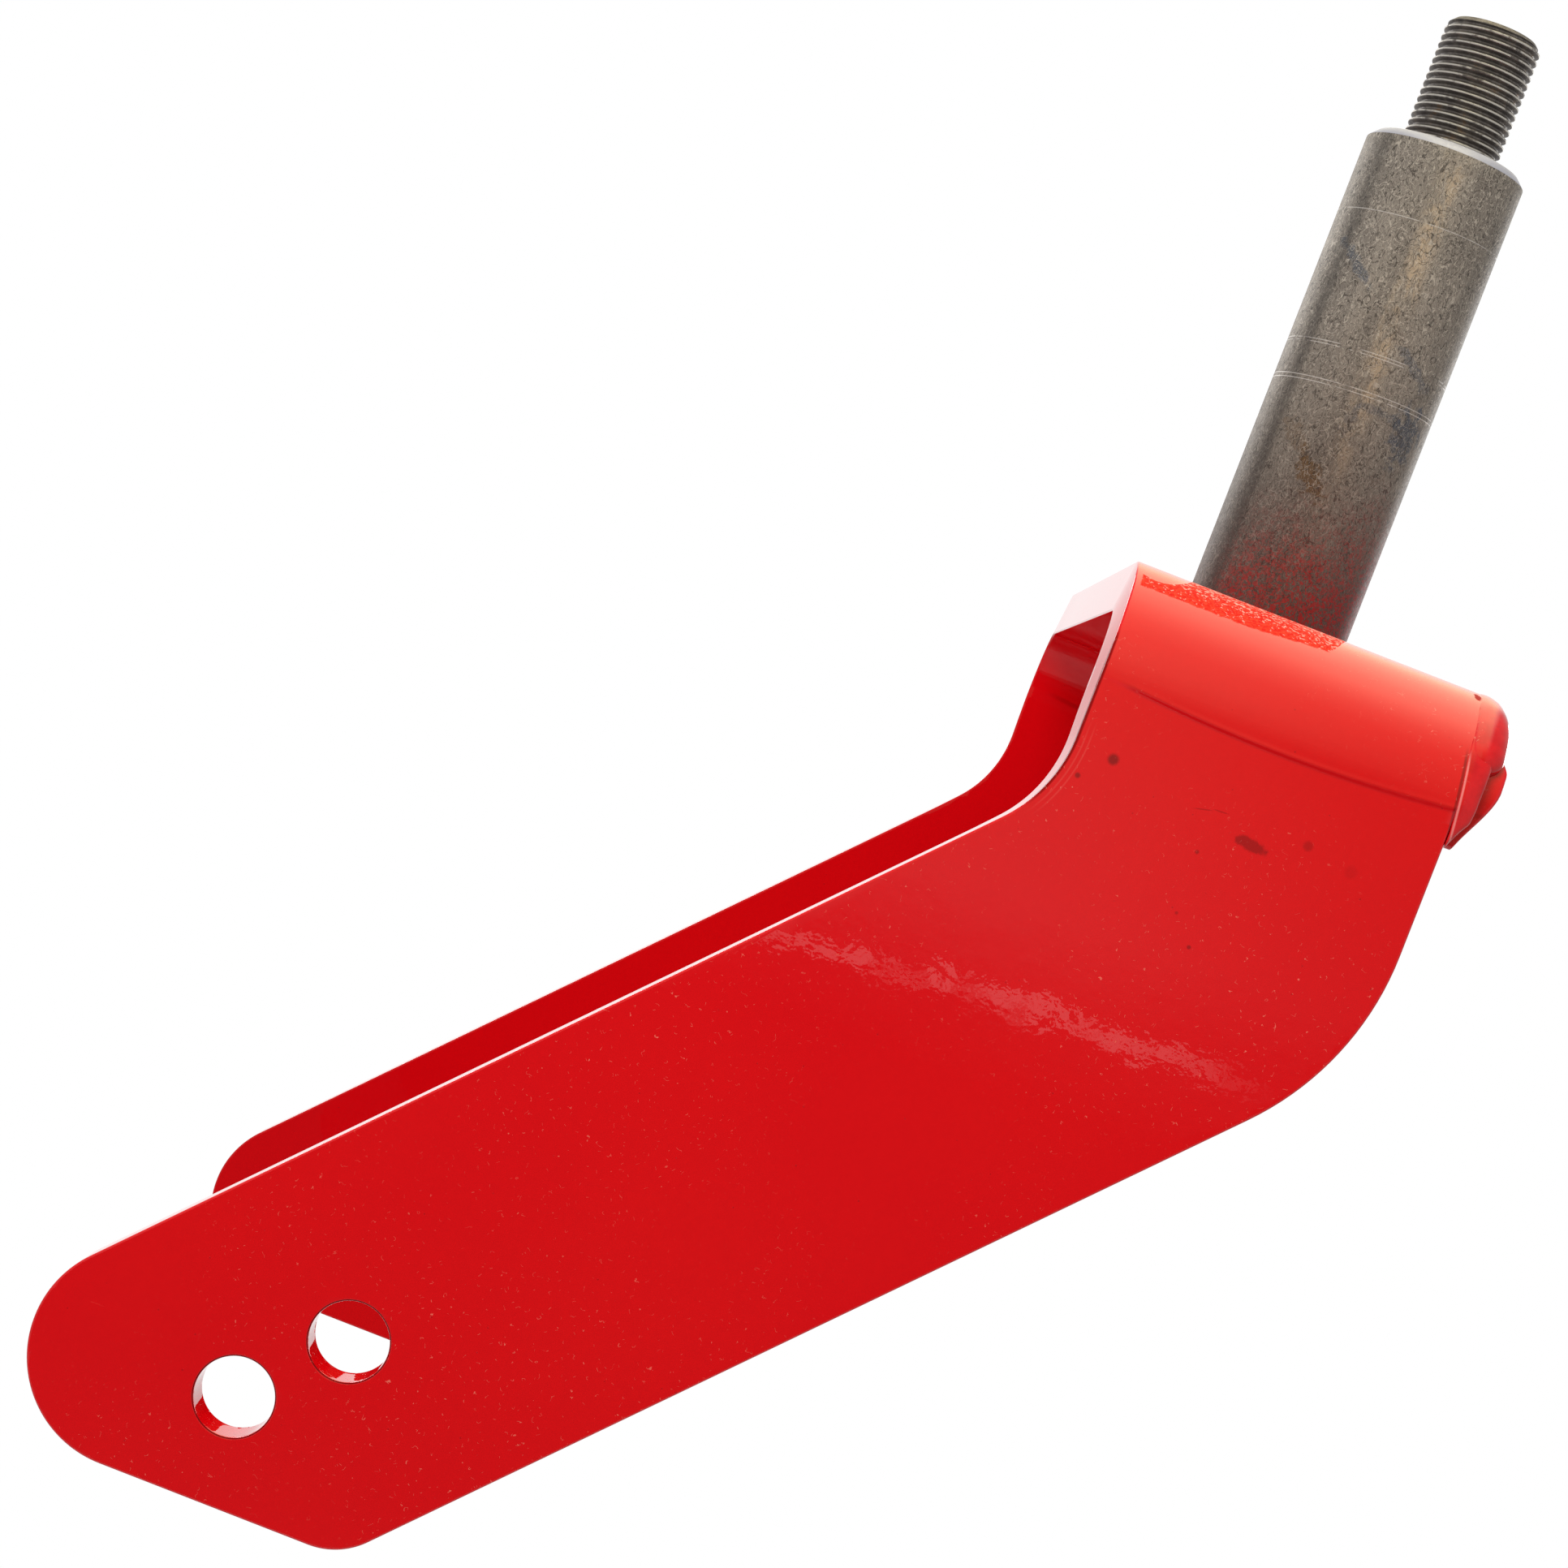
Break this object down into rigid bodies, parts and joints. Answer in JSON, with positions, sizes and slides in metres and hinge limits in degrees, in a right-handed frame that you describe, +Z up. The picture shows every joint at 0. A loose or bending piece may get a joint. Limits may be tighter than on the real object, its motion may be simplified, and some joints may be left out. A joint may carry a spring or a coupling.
{
  "type": "caster wheel fork",
  "caption": "Bent plate caster fork: a U-shaped yoke with two dog-leg legs drilled for an axle, and a threaded swivel spindle welded through the crown.",
  "frame": {"origin": "where the spindle's axis meets the crown's top face", "axes": "+Z up along the spindle towards its threaded stud, legs trail towards -X, Y across the fork"},
  "size_m": [0.1975, 0.1968, 0.3306],
  "materials": {
    "yoke_paint": "gloss",
    "weld_paint": "gloss, over rippled weld",
    "spindle_steel": "bare turned steel, heat-tinted near the weld"
  },
  "bodies": {
    "root": {"fork_yoke": "yoke_paint", "swivel_spindle": "spindle_steel", "spindle_top_weld": "weld_paint", "spindle_bottom_weld": "weld_paint", "rear_stiffener": "yoke_paint", "stiffener_weld_near": "weld_paint", "stiffener_weld_far": "weld_paint"}
  },
  "joints": []
}
